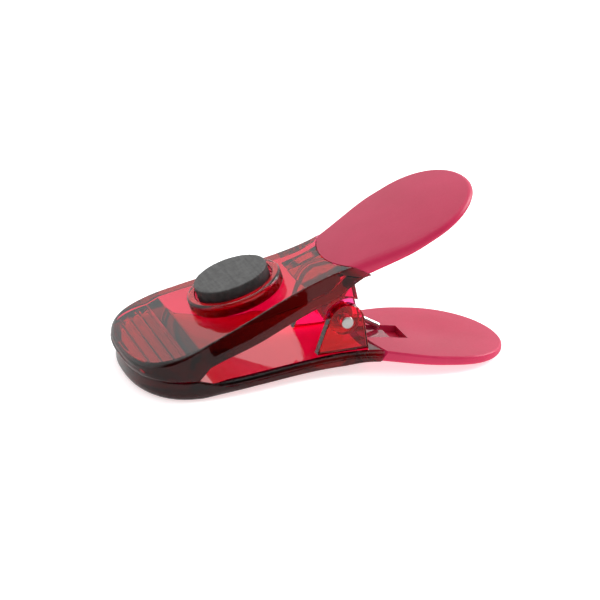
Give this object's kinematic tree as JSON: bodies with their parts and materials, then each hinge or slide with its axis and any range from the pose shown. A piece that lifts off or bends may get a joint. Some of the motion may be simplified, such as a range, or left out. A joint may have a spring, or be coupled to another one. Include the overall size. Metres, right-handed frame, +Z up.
{
  "type": "magnetic clip",
  "caption": "Spring clip with clear red plastic arms, soft pink grips and a disc magnet in a round cup on its upper arm, for holding papers or bags on a steel surface.",
  "frame": {"origin": "on the table, under the middle of the closed clip's length and width", "axes": "+X from the nose towards the grips, +Y along the pivot pin, +Z up from the table"},
  "size_m": [0.0956, 0.0416, 0.043],
  "materials": {
    "clear_red": "clear, tinted, polished",
    "pink_grip": "satin",
    "steel": "bright",
    "ferrite": "ground, finely scratched",
    "glue": "dull"
  },
  "bodies": {
    "lower": {"lower_arm": "clear_red", "lower_grip": "pink_grip", "pivot_pin": "steel", "torsion_spring": "steel"},
    "upper": {"upper_arm": "clear_red", "upper_grip": "pink_grip", "magnet_cup": "clear_red", "magnet_adhesive": "glue", "magnet": "ferrite"}
  },
  "joints": [
    {"name": "jaw_hinge", "type": "hinge", "parent": "lower", "child": "upper", "pos_m": [0.00538, 0, 0.01229], "axis": [0, 1, 0], "range_deg": [0, 54], "stiffness_Nm_per_rad": 0.15, "springref_deg": -45.84, "deforming": ["torsion_spring"]}
  ]
}
